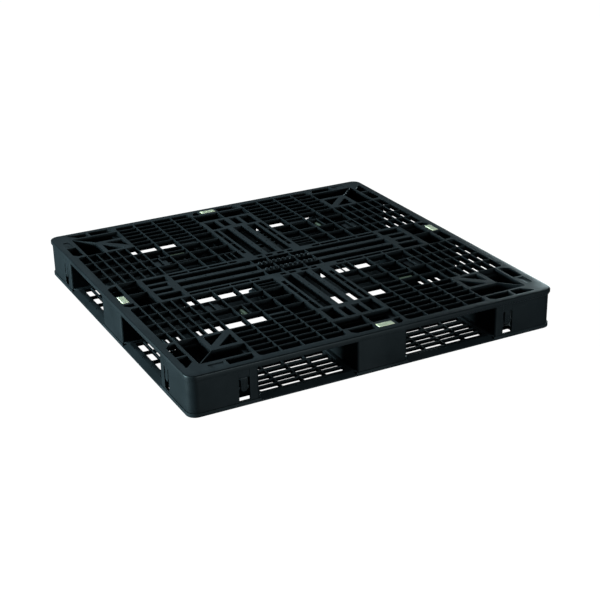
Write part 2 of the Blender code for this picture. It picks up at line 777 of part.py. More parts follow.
def build_latch(name, place, quarter, parts, cutters, material):
    """A tongue that hangs from its root, the hinge axis, with a barb behind its rounded tip."""
    half = TONGUE_THICKNESS / 2
    drop = TONGUE_TIP - HINGE_HEIGHT
    barb_top = BARB_TOP - HINGE_HEIGHT
    root = [(half * math.cos(a), half * math.sin(a)) for a in (math.pi * i / 8 for i in range(9))]
    profile = [*root, (-half, drop), (half, drop), (BARB_REACH, barb_top - BARB_LIP)]
    profile += [(BARB_REACH, barb_top), (half, barb_top)]
    latch = extruded(name, [profile], -TONGUE_WIDTH / 2, TONGUE_WIDTH / 2, parts)
    latch.data.transform(Matrix.Rotation(math.pi / 2, 4, "Z") @ Matrix.Rotation(math.pi / 2, 4, "X"))
    wide = TONGUE_WIDTH / 2 + 0.0002
    face = rectangle(-wide, drop - 0.0001, wide, half + 0.002)
    face = rounded(face, (TONGUE_WIDTH / 2, TONGUE_WIDTH / 2, 0, 0), RIM_STEPS)
    tip = extruded("tip", [face], -0.02, 0.02, cutters)
    tip.data.transform(Matrix.Rotation(math.pi / 2, 4, "X"))
    combine(latch, [tip], "INTERSECT")
    latch.data.materials.append(material)
    turn = Matrix.Rotation(math.pi / 2 * quarter, 4, "Z")
    here = Matrix.Translation((place - HALF, HINGE_INSET - HALF, HINGE_HEIGHT))
    latch.matrix_world = turn @ here
    return latch


def build_deck_pad(name, quarter, parts, material):
    length, width, height = DECK_PAD
    s, e = DECK_PAD_PLACE
    top = HEIGHT + DECK_PAD_PROUD
    pad = side_box(
        name, around(s, length), around(e, width), (top - height, top), quarter, parts
    )
    pad.data.materials.append(material)
    return pad


def build_fork_pad(name, quarter, parts, cutters, material):
    """A strip pushed up over a shallow rib, which fills the groove in its top."""
    width, length, height = FORK_PAD
    centre = PAD_CELL_CENTRE
    bottom = UNDERSIDE - FORK_PAD_PROUD
    top = bottom + height
    pad = side_box(name, around(centre, width), around(centre, length), (bottom, top), quarter, parts)
    groove = side_box(
        "groove",
        around(centre, RIB + 2 * GAP),
        around(centre, length + 0.01),
        (top - FORK_PAD_GROOVE, top + 0.01),
        quarter,
        cutters,
    )
    combine(pad, [groove], "DIFFERENCE")
    pad.data.materials.append(material)
    return pad


def main():
    for obj in list(bpy.data.objects):
        bpy.data.objects.remove(obj)
    parts = new_collection("plastic_pallet")
    cutters = new_collection("cutters")
    cutters.hide_render = True

    deck_plastic = plastic("upper_deck_plastic", (0.012, 0.014, 0.016), 0.42)
    base_plastic = plastic("lower_deck_plastic", (0.011, 0.013, 0.014), 0.50)
    latch_plastic = plastic("latch_plastic", (0.013, 0.015, 0.017), 0.38)
    deck_rubber = plastic("deck_pad_rubber", (0.62, 0.68, 0.48), 0.65)
    fork_rubber = plastic("fork_pad_rubber", (0.52, 0.60, 0.42), 0.70)

    build_lower_deck(parts, cutters, base_plastic)
    build_upper_deck(parts, cutters, deck_plastic)
    for side, quarter in QUARTERS.items():
        build_deck_pad("deck_grip_pad_" + side, quarter, parts, deck_rubber)
        build_fork_pad("fork_grip_pad_" + side, quarter, parts, cutters, fork_rubber)
        for end, place in (("a", LATCH_FROM_CORNER), ("b", SIDE - LATCH_FROM_CORNER)):
            name = "snap_latch_" + side + "_" + end
            build_latch(name, place, quarter, parts, cutters, latch_plastic)


main()
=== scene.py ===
"""Looks of the plastic pallet: finely moulded decks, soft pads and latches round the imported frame.

The plan is drawn from one corner: s runs along an edge from its left end as seen from outside, and e runs
inwards from that edge. Everything but the centre beam and the two spokes that meet it repeats on the four
sides by quarter turns.
"""

import json
import math

import bmesh
import bpy
from mathutils import Matrix, Vector


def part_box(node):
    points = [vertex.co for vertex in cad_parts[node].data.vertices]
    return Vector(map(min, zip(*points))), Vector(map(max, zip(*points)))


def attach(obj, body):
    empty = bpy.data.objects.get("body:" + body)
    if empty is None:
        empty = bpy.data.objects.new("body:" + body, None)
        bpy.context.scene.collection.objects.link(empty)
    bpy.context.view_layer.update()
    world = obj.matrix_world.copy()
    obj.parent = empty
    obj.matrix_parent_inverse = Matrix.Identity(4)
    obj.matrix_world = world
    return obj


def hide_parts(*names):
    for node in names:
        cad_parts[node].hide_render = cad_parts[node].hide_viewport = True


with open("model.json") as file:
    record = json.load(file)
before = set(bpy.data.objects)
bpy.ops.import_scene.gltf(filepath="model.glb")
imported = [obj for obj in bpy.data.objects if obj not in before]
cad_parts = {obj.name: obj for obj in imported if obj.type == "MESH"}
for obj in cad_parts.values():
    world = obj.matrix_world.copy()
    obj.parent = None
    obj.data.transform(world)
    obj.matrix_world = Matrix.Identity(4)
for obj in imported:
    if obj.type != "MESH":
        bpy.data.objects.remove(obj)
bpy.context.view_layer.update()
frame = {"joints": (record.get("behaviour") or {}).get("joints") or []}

deck_low, deck_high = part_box("upper_deck")
base_low, base_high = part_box("lower_deck")

# The frame's sizes, in metres.
SIDE = deck_high.x - deck_low.x
HALF = SIDE / 2
STUD_HEIGHT = 0.005
HEIGHT = deck_high.z - STUD_HEIGHT
FOOT = deck_low.z
BASE_INSET = base_low.x - deck_low.x
LOOP_TOP = base_high.z

# The upper deck's depth and lip, the middles of its ribs, and the ranges of its openings.
CORNER_RADIUS = 0.028
DECK_DEPTH = 0.017
UNDERSIDE = HEIGHT - DECK_DEPTH
LIP_DEPTH = 0.012
LIP_OVERHANG = 0.003
LIP_RADIUS = 0.004
RIB = 0.003
RIM_AT_FORKS = 0.0255
FINE_LINES = [0.0545 + 0.0305 * step for step in range(6)]
COARSE_LINES = [0.207 + 0.06325 * step for step in range(5)]
SHORT_RIB = 0.2325
LOW_RIBS = (0.4175, 0.437)
WEB = 0.003
WEB_LAP = 0.0015
SHELF_DROP = 0.0065
SHELF_LAP = 0.020
RIM_POCKETS = (0.0195, 0.0495)
RECESS = (0.057, 0.1125)
FRAME = (0.126, 0.196)
DIAGONAL_BAR = 0.0145
BIG_POCKET = (0.4715, 0.508)
NARROW_POCKET = (0.5185, 0.542)
NARROW_POCKET_END = 0.185
GROOVES = [(0.488, 0.5175), (0.534, 0.566), (0.5825, 0.612)]
BARS = [(before[1], after[0]) for before, after in zip(GROOVES, GROOVES[1:])]
BEAM_EDGE = 0.4585
BEAM_RIBS = [0.460, 0.5135]
SLOT_BAND = (0.4675, 0.480)
SLOT_ROW_END = 0.427
END_SLOTS = [(0.491, 0.509), (0.519, 0.543)]
SMALL_HOLE_RADIUS = 0.002
STUD_RADIUS = 0.0048
STUD_PITCH = 0.0155
STUDS_EACH_WAY = 5
FORK_PAD_GROOVE = 0.004

# The columns and their partitions.
WALL = 0.004
CHAMBER_WALL = 0.0035
COLUMN_FACE = 0.0035
CORNER_COLUMN_END = 0.1925
MIDDLE_COLUMN_START = 0.4755
MIDDLE_COLUMN_END = SIDE - MIDDLE_COLUMN_START
COLUMN_RADIUS = 0.006
PARTITION_BOTTOM = 0.055

# The lower deck.
BASE_DEPTH = 0.0105
WINDOW_START = 0.209
WINDOW_END = 0.487
BASE_CHAMFER = 0.018
BASE_EDGE_HEIGHT = 0.003
BASE_ROWS = [(0.0345, 0.0575), (0.0625, 0.0815), (0.0865, 0.1065), (0.114, 0.136), (0.146, 0.166)]
BASE_RIB = 0.005
BASE_SMALL_HOLES = 0.0203
LATCH_FOOT = (0.118, 0.186)
LATCH_FOOT_DEPTH = (0.014, 0.046)
KERB_TOP = 0.013
KERB_WIDTH = 0.013
KERB_RADIUS = 0.032
CORNER_KERB_END = CORNER_COLUMN_END + KERB_WIDTH
MIDDLE_KERB_START = MIDDLE_COLUMN_START - KERB_WIDTH

# The latch windows.
LATCH_FROM_CORNER = 0.152
LATCH_WINDOW = 0.030
LATCH_WINDOW_LOW = 0.014
LATCH_WINDOW_HIGH = 0.0775

# How wide a sharp edge of the mouldings is broken, and how far a cutter reaches past what it cuts.
BROKEN_EDGE = 0.0005
SPARE = 0.01

SIDES = {"front": 0, "right": 1, "back": 2, "left": 3}
helpers = bpy.data.collections.new("helpers")
bpy.context.scene.collection.children.link(helpers)


# Outlines in plan.


def rectangle(left, low, right, high):
    return [(left, low), (right, low), (right, high), (left, high)]


def arc(centre, radius, start, end, steps):
    """Points on an arc, its angles in degrees."""
    angles = [math.radians(start + (end - start) * step / steps) for step in range(steps + 1)]
    return [(centre[0] + radius * math.cos(a), centre[1] + radius * math.sin(a)) for a in angles]


def circle(centre, radius, steps=12):
    return arc(centre, radius, 0, 360 * (steps - 1) / steps, steps - 1)


def rounded(points, radii, steps=5):
    """The outline with an arc of the given radius at each corner, 0 for a sharp one."""
    result = []
    for index, radius in enumerate(radii):
        corner = Vector(points[index])
        if not radius:
            result.append(tuple(corner))
            continue
        back = (Vector(points[index - 1]) - corner).normalized()
        ahead = (Vector(points[(index + 1) % len(points)]) - corner).normalized()
        half_angle = back.angle(ahead) / 2
        centre = corner + (back + ahead).normalized() * radius / math.sin(half_angle)
        start = corner + back * radius / math.tan(half_angle) - centre
        end = corner + ahead * radius / math.tan(half_angle) - centre
        sweep = math.atan2(start.x * end.y - start.y * end.x, start.dot(end))
        for step in range(steps + 1):
            spoke = Matrix.Rotation(sweep * step / steps, 2) @ start
            result.append(tuple(centre + spoke))
    return result


def round_box(left, low, right, high, radius, steps=5):
    return rounded(rectangle(left, low, right, high), (radius,) * 4, steps)


def chamfered(points, corner, cut):
    """The outline with one corner cut off at 45 degrees."""
    here = Vector(points[corner])
    before = here + (Vector(points[corner - 1]) - here).normalized() * cut
    after = here + (Vector(points[(corner + 1) % len(points)]) - here).normalized() * cut
    return [*points[:corner], tuple(before), tuple(after), *points[corner + 1 :]]


def mirrored(points):
    """The outline reflected in the middle of its side."""
    return [(SIDE - s, e) for s, e in reversed(points)]


def swapped(points):
    """The outline reflected in the diagonal through its corner."""
    return [(e, s) for s, e in reversed(points)]


def placed(points, quarter=0):
    """From edge distances to world plan, turned by quarter turns about the centre."""
    turn = Matrix.Rotation(math.pi / 2 * quarter, 2)
    return [tuple(turn @ Vector((s - HALF, e - HALF))) for s, e in points]


def on_all_sides(outlines):
    return [placed(points, quarter) for quarter in range(4) for points in outlines]


def around(middle, width):
    """The range of the given width about a middle."""
    return middle - width / 2, middle + width / 2


# Solids.


def link_mesh(name, mesh):
    obj = bpy.data.objects.new(name, mesh)
    helpers.objects.link(obj)
    return obj


def show(obj):
    """Moves an object from the helpers into the rendered scene."""
    helpers.objects.unlink(obj)
    bpy.context.scene.collection.objects.link(obj)


def read_mesh(obj, name):
    """The mesh of an object with its modifiers applied."""
    bpy.context.view_layer.update()
    evaluated = obj.evaluated_get(bpy.context.evaluated_depsgraph_get())
    mesh = bpy.data.meshes.new_from_object(evaluated)
    mesh.name = name
    return mesh


def discard(obj):
    data = obj.data
    bpy.data.objects.remove(obj)
    if isinstance(data, bpy.types.Mesh):
        bpy.data.meshes.remove(data)
    else:
        bpy.data.curves.remove(data)


def bake(obj):
    """Applies the object's modifiers to its mesh."""
    mesh = read_mesh(obj, obj.name)
    obj.modifiers.clear()
    before = obj.data
    obj.data = mesh
    bpy.data.meshes.remove(before)
    return obj


def extruded(name, outlines, bottom, top, edge=0.0, edge_steps=1):
    """Separate flat outlines, extruded upwards into one mesh of closed solids, their ends rounded."""
    curve = bpy.data.curves.new(name, "CURVE")
    curve.dimensions = "2D"
    curve.fill_mode = "BOTH"
    curve.extrude = (top - bottom) / 2 - edge
    curve.bevel_depth = edge
    curve.bevel_resolution = edge_steps
    curve.offset = -edge
    for points in outlines:
        spline = curve.splines.new("POLY")
        spline.points.add(len(points) - 1)
        spline.use_cyclic_u = True
        for target, (x, y) in zip(spline.points, points):
            target.co = (x, y, 0, 1)
    guide = bpy.data.objects.new(name, curve)
    helpers.objects.link(guide)
    mesh = read_mesh(guide, name)
    discard(guide)
    mesh.transform(Matrix.Translation((0, 0, (top + bottom) / 2)))
    solid = bmesh.new()
    solid.from_mesh(mesh)
    bmesh.ops.remove_doubles(solid, verts=solid.verts, dist=1e-6)
    bmesh.ops.recalc_face_normals(solid, faces=solid.faces)
    solid.to_mesh(mesh)
    solid.free()
    return link_mesh(name, mesh)


def combine(target, tools, operation):
    """Applies a Boolean of the target with every tool, and discards the tools."""
    for tool in tools:
        modifier = target.modifiers.new(operation.lower(), "BOOLEAN")
        modifier.operation = operation
        modifier.solver = "EXACT"
        modifier.object = tool
    bake(target)
    for tool in tools:
        discard(tool)
    return target


def pierced(name, outlines, holes, bottom, top):
    """Extruded outlines with openings cut right through them."""
    margin = 0.002
    body = extruded(name, outlines, bottom, top)
    return combine(body, [extruded("openings", holes, bottom - margin, top + margin)], "DIFFERENCE")


def merged(name, solids):
    """Several separate solids as one mesh, to be used as one Boolean tool."""
    joined = bmesh.new()
    for solid in solids:
        joined.from_mesh(solid.data)
        discard(solid)
    mesh = bpy.data.meshes.new(name)
    joined.to_mesh(mesh)
    joined.free()
    return link_mesh(name, mesh)


def turned(obj, quarter):
    """Turns a mesh drawn at the front side to another side, in its data."""
    obj.data.transform(Matrix.Rotation(math.pi / 2 * quarter, 4, "Z"))
    return obj


def block(name, low, high, edge=0.0, steps=2):
    """A box between two corners, its edges rounded by the given width."""
    solid = bmesh.new()
    size = Vector(high) - Vector(low)
    matrix = Matrix.Translation((Vector(high) + Vector(low)) / 2) @ Matrix.Diagonal((*size, 1))
    bmesh.ops.create_cube(solid, size=1, matrix=matrix)
    if edge:
        bmesh.ops.bevel(
            solid, geom=solid.edges[:], offset=edge, segments=steps, profile=0.5, affect="EDGES"
        )
    mesh = bpy.data.meshes.new(name)
    solid.to_mesh(mesh)
    solid.free()
    return link_mesh(name, mesh)


def side_block(name, s_range, e_range, z_range, quarter, edge=0.0):
    """A box drawn at the front side and turned to another."""
    low = (s_range[0] - HALF, e_range[0] - HALF, z_range[0])
    high = (s_range[1] - HALF, e_range[1] - HALF, z_range[1])
    return turned(block(name, low, high, edge), quarter)


def soften(obj, width):
    """Breaks every sharp edge of a mesh, its many-sided faces first split into triangles."""
    solid = bmesh.new()
    solid.from_mesh(obj.data)
    bmesh.ops.triangulate(solid, faces=[face for face in solid.faces if len(face.verts) > 4])
    solid.to_mesh(obj.data)
    solid.free()
    modifier = obj.modifiers.new("soften", "BEVEL")
    modifier.width = width
    modifier.segments = 1
    modifier.limit_method = "ANGLE"
    modifier.angle_limit = math.radians(38)
    modifier.use_clamp_overlap = False
    return bake(obj)


def finish_piece(obj, body, material, slot, *nodes):
    """Shades a piece, gives it its material and hangs it on its body in place of its CAD nodes."""
    show(obj)
    obj.data.materials.clear()
    obj.data.materials.append(material)
    obj.data.shade_smooth()
    obj.data.set_sharp_from_angle(angle=math.radians(29))
    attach(obj, body)
    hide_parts(*nodes)
    return obj


# Openings of the upper deck.


def cells(s_lines, e_lines):
    """The openings between two families of rib lines."""
    pad = RIB / 2
    return [
        rectangle(left + pad, low + pad, right - pad, high - pad)
        for left, right in zip(s_lines, s_lines[1:])
        for low, high in zip(e_lines, e_lines[1:])
    ]


def fork_strip_openings():
    """The lattice above one fork entry, with rounded corners towards the rim."""
    openings = cells(COARSE_LINES, [RIM_AT_FORKS - RIB / 2, *FINE_LINES])
    last = len(openings) - len(FINE_LINES)
    radius = 0.010
    openings[0] = rounded(openings[0], (radius, 0, 0, 0))
    openings[last] = rounded(openings[last], (0, radius, 0, 0))
    return openings + [mirrored(points) for points in openings]


def quadrant_openings(pad_cell):
    """The coarse lattice inside one corner column, with a few extra short ribs."""
    extra_s = {(0, 2): [SHORT_RIB], (1, 1): [pad_cell]}
    extra_e = {(2, 0): [SHORT_RIB]}
    openings = []
    for column in range(4):
        for row in range(4):
            s_lines, e_lines = COARSE_LINES[column : column + 2], COARSE_LINES[row : row + 2]
            s_lines[1:1] = extra_s.get((column, row), [])
            e_lines[1:1] = extra_e.get((column, row), [])
            openings += cells(s_lines, e_lines)
    return openings


def rim_pockets():
    """The pockets in the wide rim over the columns of one side, left to right."""
    near, far = RIM_POCKETS
    cut, radius = 0.012, 0.0013
    outer_left, outer_right = 0, 1
    spans = [
        (0.122, 0.196, outer_right),
        (0.472, 0.544, outer_left),
        (0.608, 0.630, outer_right),
        (0.904, 0.978, outer_left),
    ]
    pockets = [chamfered(rectangle(left, near, right, far), corner, cut) for left, right, corner in spans]
    left, slope_end, right, end_width = 0.985, 1.018, 1.046, 0.003
    by_corner = [(left, near), (right, near), (right, near + end_width), (slope_end, far), (left, far)]
    pockets.append(by_corner)
    return [rounded(points, (radius,) * 5, 2) for points in pockets]


def corner_openings():
    """The deep L recess with its diagonal rib, and the framed square with its diagonal bar."""
    start, end = RECESS
    edge = COARSE_LINES[0] - RIB / 2
    lean = RIB / math.sqrt(2)
    recess_radius, triangle_radius = 0.003, 0.004
    recess = [(start + lean, start), (edge, start), (edge, end), (end + lean, end)]
    recess = rounded(recess, (0, recess_radius, recess_radius, 0), 3)
    low, high = FRAME
    triangle = [(low + DIAGONAL_BAR, low), (high, low), (high, high - DIAGONAL_BAR)]
    triangle = rounded(triangle, (0, triangle_radius, 0), 3)
    return [recess, swapped(recess), triangle, swapped(triangle)]


def middle_openings():
    """The recess and the framed pockets over the middle column of one side."""
    low, high = FRAME
    radius = 0.002
    half = [
        rectangle(COARSE_LINES[4] + RIB / 2, RECESS[0], HALF - RIB / 2, RECESS[1]),
        round_box(BIG_POCKET[0], low, BIG_POCKET[1], high, radius, 2),
        round_box(NARROW_POCKET[0], low, NARROW_POCKET[1], NARROW_POCKET_END, radius, 2),
    ]
    return half + [mirrored(points) for points in half]


def thin_floors():
    """Floors low in the openings that reach past a column's walls."""
    start, end = RECESS
    low, high = FRAME
    wall = CORNER_COLUMN_END - WALL / 2
    corner = [
        rectangle(wall, start - WEB_LAP, COARSE_LINES[0], end + WEB_LAP),
        rectangle(wall, low - WEB_LAP, high + WEB_LAP, high - DIAGONAL_BAR + WEB_LAP),
    ]
    corner += [swapped(points) for points in corner]
    beside = MIDDLE_COLUMN_START + WALL / 2
    outer, inner = BIG_POCKET[0] - WEB_LAP, BIG_POCKET[1] + WEB_LAP
    bottom, top = low - WEB_LAP, high + WEB_LAP
    frame_end = [(outer, bottom), (beside, bottom), (beside, wall), (inner, wall), (inner, top)]
    middle = [
        rectangle(COARSE_LINES[4], start - WEB_LAP, beside, end + WEB_LAP),
        [*frame_end, (outer, top)],
    ]
    return on_all_sides(corner + middle + [mirrored(points) for points in middle])


def slot_centres():
    """The middles of the coarse cells, along one half of a side."""
    return [(low + high) / 2 for low, high in zip(COARSE_LINES, COARSE_LINES[1:])]


def slot_row(extra=()):
    """One row of slots along a beam, from the first rib to where the row ends, with any extra ones."""
    ends = [*COARSE_LINES[:4], SLOT_ROW_END]
    spans = [(left + RIB / 2, right - RIB / 2) for left, right in zip(ends, ends[1:])]
    low, high = SLOT_BAND
    radius = 0.0015
    return [round_box(left, low, right, high, radius, 2) for left, right in [*spans, *extra]]


def bar_holes():
    """The small holes along both bars of a beam, one beside each cell."""
    return [
        circle((along, (low + high) / 2), SMALL_HOLE_RADIUS, 10)
        for low, high in BARS
        for along in slot_centres()
    ]


def spoke_openings():
    """The grooves, slot rows and small bar holes between one middle column and the centre beam."""
    start = COARSE_LINES[0] + RIB / 2
    grooves = [rectangle(left, start, right, BEAM_EDGE) for left, right in GROOVES]
    slots = [swapped(points) for points in slot_row()]
    holes = [swapped(points) for points in bar_holes()]
    return grooves + slots + [mirrored(points) for points in slots] + holes


def beam_openings():
    """The centre beam: long grooves crossed by thin ribs, slot rows and small holes in both bars."""
    crossings = [COARSE_LINES[0], *BEAM_RIBS]
    crossings += [SIDE - place for place in reversed(crossings)]
    openings = [
        rectangle(left + RIB / 2, low, right - RIB / 2, high)
        for low, high in GROOVES
        for left, right in zip(crossings, crossings[1:])
    ]
    row = slot_row(END_SLOTS)
    row += [mirrored(points) for points in row]
    row += [[(s, SIDE - e) for s, e in reversed(points)] for points in row]
    holes = bar_holes()
    return openings + row + holes + [mirrored(points) for points in holes]


def build_studs():
    """The domed studs over the centre column, rooted in the beam's bars."""
    root, edge = 0.008, 0.0011
    steps = range(-STUDS_EACH_WAY, STUDS_EACH_WAY + 1)
    centres = [(HALF + STUD_PITCH * step, sum(bar) / 2) for bar in BARS for step in steps]
    outlines = [placed(circle(centre, STUD_RADIUS, 20)) for centre in centres]
    return extruded("studs", outlines, HEIGHT - root, HEIGHT + STUD_HEIGHT, edge, 2)


# Columns.


def corner_column_cells():
    """The hollows of one corner column above its open chamber."""
    start, end = COLUMN_FACE + WALL, CORNER_COLUMN_END - WALL
    channel_end, recess_start, recess_end, frame_start = 0.050, 0.0545, 0.115, 0.119
    inner = CORNER_RADIUS - WALL
    diagonal_wall = 0.0025
    lean = diagonal_wall / math.sqrt(2)
    recess = [(recess_start + lean, recess_start), (end, recess_start)]
    recess += [(end, recess_end), (recess_end + lean, recess_end)]
    return [
        rounded(rectangle(start, start, end, channel_end), (inner, 0, 0, 0)),
        rectangle(start, recess_start, channel_end, end),
        recess,
        swapped(recess),
        rectangle(frame_start, frame_start, end, end),
    ]


def middle_column_cells():
    """The hollows of the middle column of one side above its open chamber."""
    left, right = MIDDLE_COLUMN_START + WALL, HALF - WALL / 2
    start, end = COLUMN_FACE + WALL, CORNER_COLUMN_END - WALL
    channel_end, recess_start, recess_end, frame_start = 0.050, 0.0545, 0.110, 0.114
    rows = [(start, channel_end), (recess_start, recess_end), (frame_start, end)]
    half = [rectangle(left, low, right, high) for low, high in rows]
    return half + [mirrored(points) for points in half]


def column_chambers():
    """The open chamber below each column's partitions, its walls slightly thinner."""
    low, high = COLUMN_FACE + CHAMBER_WALL, CORNER_COLUMN_END - CHAMBER_WALL
    left, right = MIDDLE_COLUMN_START + CHAMBER_WALL, MIDDLE_COLUMN_END - CHAMBER_WALL
    corner = rounded(rectangle(low, low, high, high), (CORNER_RADIUS - CHAMBER_WALL, 0, 0, 0))
    chambers = on_all_sides([corner, rectangle(left, low, right, high)])
    chambers.append(placed(rectangle(left, left, right, right)))
    return extruded("chambers", chambers, 0, PARTITION_BOTTOM)


def latch_window_cuts():
    """The eight latch windows, and the shallow panel in the wall above each one."""
    clear, radius = 0.004, 0.0015
    panel_depth, panel_gap = 0.0008, 0.002
    windows, panels = [], []
    for quarter in range(4):
        for place in (LATCH_FROM_CORNER, SIDE - LATCH_FROM_CORNER):
            s_range = around(place, LATCH_WINDOW)
            e_range = (-clear, COLUMN_FACE + WALL + clear)
            z_range = (LATCH_WINDOW_LOW, LATCH_WINDOW_HIGH)
            windows.append(side_block("window", s_range, e_range, z_range, quarter, radius))
            e_range = (-clear, COLUMN_FACE + panel_depth)
            z_range = (LATCH_WINDOW_HIGH + panel_gap, UNDERSIDE + SPARE)
            panels.append(side_block("panel", s_range, e_range, z_range, quarter))
    return [merged("windows", windows), merged("panels", panels)]


def build_columns():
    """All nine hollow columns, with the latch windows and panels in the corner ones."""
    low, high = COLUMN_FACE, CORNER_COLUMN_END
    left, right = MIDDLE_COLUMN_START, MIDDLE_COLUMN_END
    corner = rounded(rectangle(low, low, high, high), (CORNER_RADIUS, *(COLUMN_RADIUS,) * 3), 8)
    outlines = on_all_sides([corner, round_box(left, low, right, high, COLUMN_RADIUS)])
    outlines.append(placed(round_box(left, left, right, right, COLUMN_RADIUS)))
    inner = [(left + WALL, HALF - WALL / 2), (HALF + WALL / 2, right - WALL)]
    holes = on_all_sides(corner_column_cells() + middle_column_cells())
    holes += [placed(rectangle(a[0], b[0], a[1], b[1])) for a in inner for b in inner]
    deck_lap = 0.001
    columns = pierced("columns", outlines, holes, FOOT, UNDERSIDE + deck_lap)
    return combine(columns, [column_chambers(), *latch_window_cuts()], "DIFFERENCE")


def lattice_floors():
    """The thin floors, the shelves, and the short ribs set a little under the deck's top."""
    third, fourth = COARSE_LINES[3:5]
    shelf = rectangle(COARSE_LINES[2], COARSE_LINES[0], third, SHORT_RIB + SHELF_LAP)
    shelf_top = HEIGHT - SHELF_DROP
    ribs = [rectangle(third, rib - RIB / 2, fourth, rib + RIB / 2) for rib in LOW_RIBS]
    rib_bottom, rib_top = HEIGHT - 0.004, HEIGHT - 0.0005
    floor = UNDERSIDE + 0.0005
    return [
        extruded("floors", thin_floors(), floor, floor + WEB),
        extruded("shelves", on_all_sides([shelf, swapped(shelf)]), shelf_top - WEB, shelf_top),
        extruded("low_ribs", on_all_sides(ribs), rib_bottom, rib_top),
    ]


def step_under_lip():
    """A frame round the deck that cuts the step under its lip."""
    inside, margin = SIDE - LIP_OVERHANG, 0.05
    inner = round_box(LIP_OVERHANG, LIP_OVERHANG, inside, inside, CORNER_RADIUS - LIP_OVERHANG, 8)
    outer = rectangle(-margin, -margin, SIDE + margin, SIDE + margin)
    return pierced("step", [placed(outer)], [placed(inner)], UNDERSIDE - SPARE, HEIGHT - LIP_DEPTH)


def seat_cuts():
    """The seats of the deck pads, the shallow recesses beside the corners, and the fork pads' notches."""
    gap = Vector((0.0004, 0.0004, 0.0003))
    recess_s, recess_e, recess_edge = (0.071, 0.114), (0.023, 0.0425), 0.0012
    recess_z = (HEIGHT - 0.002, HEIGHT + SPARE)
    seats, recesses, notches = [], [], []
    for side, quarter in SIDES.items():
        low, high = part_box("deck_grip_pad_" + side)
        seats.append(block("seat", low - gap, (high.x + gap.x, high.y + gap.y, HEIGHT + SPARE)))
        recesses.append(side_block("recess", recess_s, recess_e, recess_z, quarter, recess_edge))
        low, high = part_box("fork_grip_pad_" + side)
        centre = (low + high) / 2
        reach = (high - low) / 2 + gap
        across = Vector((reach.x, reach.y, 0))
        bottom = Vector((centre.x, centre.y, UNDERSIDE - SPARE))
        top = Vector((centre.x, centre.y, high.z - FORK_PAD_GROOVE + gap.z))
        notches.append(block("notch", bottom - across, top + across))
    return [merged("seats", seats), merged("recesses", recesses), merged("notches", notches)]


def build_upper_deck(material):
    """The load deck, its lip and its columns, in one moulding."""
    pad_low, pad_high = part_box("fork_grip_pad_front")
    pad_cell = (pad_low.x + pad_high.x) / 2 + HALF
    openings = on_all_sides(
        fork_strip_openings()
        + quadrant_openings(pad_cell)
        + rim_pockets()
        + corner_openings()
        + middle_openings()
    )
    openings += [placed(points, quarter) for quarter in (0, 2) for points in spoke_openings()]
    openings += [placed(points) for points in beam_openings()]
    blank, spare_top = rectangle(-SPARE, -SPARE, SIDE + SPARE, SIDE + SPARE), 0.002
    deck = pierced("upper_deck_moulding", [placed(blank)], openings, UNDERSIDE, HEIGHT + spare_top)
    combine(deck, lattice_floors(), "UNION")

    # The envelope cuts the blank down to its rim, and rounds the lip's top edge.
    rim = placed(round_box(0, 0, SIDE, SIDE, CORNER_RADIUS, 8))
    below_deck = 0.05
    combine(deck, [extruded("envelope", [rim], below_deck, HEIGHT, LIP_RADIUS, 3)], "INTERSECT")
    combine(deck, [step_under_lip(), *seat_cuts()], "DIFFERENCE")
    combine(deck, [build_columns(), build_studs()], "UNION")
    soften(deck, BROKEN_EDGE)
    return finish_piece(deck, "pallet", material, "deck_plastic", "upper_deck")


# Lower deck.


def base_lattice():
    """The rows of open cells under the two fork entries of one side."""
    radius = 0.0025
    openings = [
        round_box(left + BASE_RIB / 2, low, right - BASE_RIB / 2, high, radius, 2)
        for left, right in zip(COARSE_LINES, COARSE_LINES[1:])
        for low, high in BASE_ROWS
    ]
    return openings + [mirrored(points) for points in openings]


def base_window():
    """One open window, notched where the centre foot stands."""
    ledge, radius = 0.0008, 0.006
    start, end, foot = WINDOW_START, WINDOW_END, MIDDLE_KERB_START - ledge
    points = [(start, start), (end, start), (end, foot), (foot, foot), (foot, end), (start, end)]
    return rounded(points, (radius,) * len(points), 4)


def base_foot_openings():
    """One opening behind each latch, and slots over a lower pallet's studs."""
    radius, clear, slot_radius = 0.004, 0.003, 0.007
    start, end = LATCH_FOOT
    outer, inner = LATCH_FOOT_DEPTH
    behind = round_box(start, outer, end, inner, radius, 3)
    width = STUD_RADIUS + clear
    reach = STUD_PITCH * STUDS_EACH_WAY + STUD_RADIUS + clear
    slots = []
    for bar in BARS:
        middle = sum(bar) / 2
        slot = round_box(HALF - reach, middle - width, HALF + reach, middle + width, slot_radius)
        slots.append(placed(slot))
    return on_all_sides([behind, swapped(behind)]) + slots


def base_pockets():
    """Blind pockets that core out the arms and the bar behind each lattice from underneath."""
    bar_start, wall, rib, edge = 0.1745, 0.002, 0.003, 0.0035
    pockets = [
        rectangle(left + wall, bar_start, right - wall, WINDOW_START - edge)
        for left, right in zip(COARSE_LINES, COARSE_LINES[1:])
    ]
    pockets += [mirrored(points) for points in pockets]
    start, end, count = CORNER_KERB_END + 0.003, MIDDLE_KERB_START - 0.001, 5
    pitch = (end - start) / count
    arm_rib = 0.523
    for left, right in ((WINDOW_END + edge, arm_rib - rib / 2), (arm_rib + rib / 2, HALF - rib / 2)):
        for step in range(count):
            low = start + pitch * step
            arm = rectangle(left, low, right, low + pitch - rib)
            pockets += [arm, mirrored(arm)]
    return on_all_sides(pockets)


